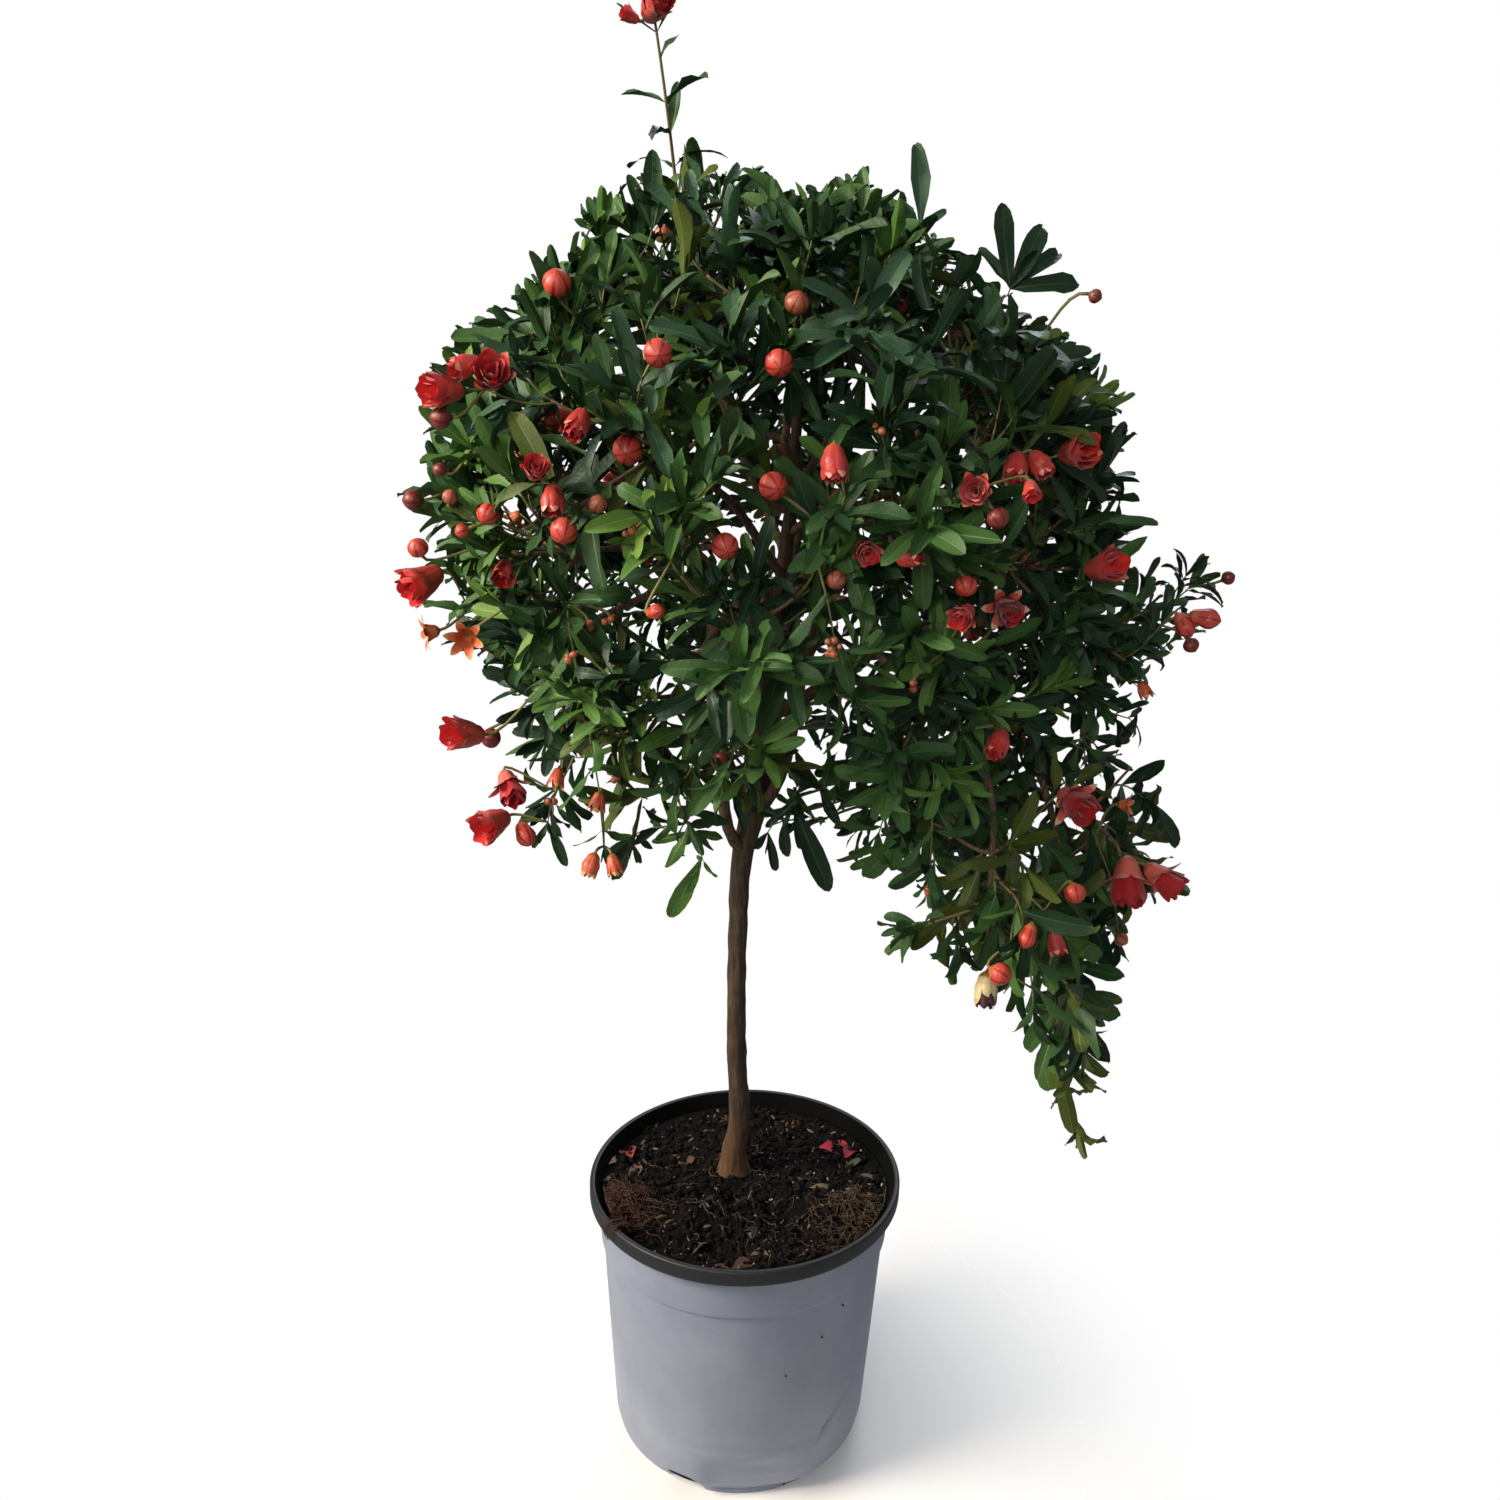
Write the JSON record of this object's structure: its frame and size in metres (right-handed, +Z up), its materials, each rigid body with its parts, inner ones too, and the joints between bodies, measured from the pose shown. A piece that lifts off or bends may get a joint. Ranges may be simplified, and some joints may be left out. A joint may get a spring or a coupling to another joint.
{
  "type": "potted pomegranate tree",
  "caption": "Small standard pomegranate tree in bloom in a round nursery pot: one slender trunk, a round crown and a weeping side.",
  "frame": {"origin": "centre of the pot's flat underside", "axes": "+Z up along the pot's axis, +X towards the crown's weeping side, -Y towards the viewer of the picture"},
  "size_m": [0.5892, 0.5112, 1.0711],
  "materials": {
    "pot": "matte moulded, pale grey with a charcoal rim",
    "potting_mix": "moist bark and peat mix",
    "bark": "smooth young bark",
    "foliage": "glossy narrow leaves"
  },
  "bodies": {
    "root": {"bough_01": "bark", "bough_02": "bark", "bough_03": "bark", "bough_04": "bark", "bough_05": "bark", "bough_06": "bark", "bough_07": "bark", "bough_08": "bark", "bough_09": "bark", "bough_10": "bark", "bough_11": "bark", "bough_12": "bark", "bough_13": "bark", "bough_14": "bark", "bough_15": "bark", "bough_16": "bark", "bough_17": "bark", "bough_18": "bark", "bough_19": "bark", "bough_20": "bark", "foliage_01": "foliage", "foliage_02": "foliage", "foliage_03": "foliage", "foliage_04": "foliage", "foliage_05": "foliage", "foliage_06": "foliage", "foliage_07": "foliage", "foliage_08": "foliage", "foliage_09": "foliage", "foliage_10": "foliage", "foliage_11": "foliage", "foliage_12": "foliage", "foliage_13": "foliage", "foliage_14": "foliage", "foliage_15": "foliage", "foliage_16": "foliage", "foliage_17": "foliage", "foliage_18": "foliage", "foliage_19": "foliage", "foliage_20": "foliage", "foliage_21": "foliage", "pot": "pot", "potting_mix": "potting_mix", "trunk": "bark", "weeping_bough_arch": "bark", "weeping_bough_back": "bark", "weeping_bough_front": "bark", "weeping_bough_inner": "bark", "weeping_bough_outer": "bark", "weeping_bough_trailing": "bark", "weeping_foliage_back": "foliage", "weeping_foliage_front": "foliage", "weeping_foliage_inner": "foliage", "weeping_foliage_outer": "foliage", "weeping_foliage_shoulder": "foliage", "weeping_foliage_trailing": "foliage"}
  },
  "joints": []
}
